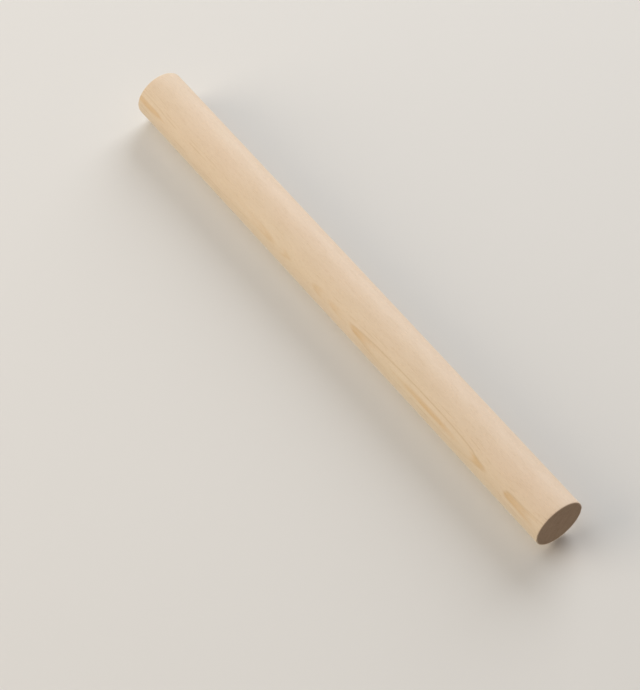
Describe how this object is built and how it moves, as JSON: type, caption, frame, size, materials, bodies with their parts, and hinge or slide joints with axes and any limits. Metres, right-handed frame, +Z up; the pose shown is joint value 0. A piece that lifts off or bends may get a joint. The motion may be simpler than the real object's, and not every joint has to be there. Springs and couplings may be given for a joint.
{
  "type": "wooden dowel",
  "caption": "Plain round hardwood dowel rod, sanded smooth along its length and sawn square at both ends.",
  "frame": {"origin": "centre of the lower end face, where the dowel stands", "axes": "+Z up the rod, along its axis and its grain; +X and +Y are across it, and it is round, so they are free"},
  "size_m": [0.0254, 0.0254, 0.3048],
  "materials": {
    "wood": "matte, unfinished, fine sanded"
  },
  "bodies": {
    "root": {"dowel": "wood"}
  },
  "joints": []
}
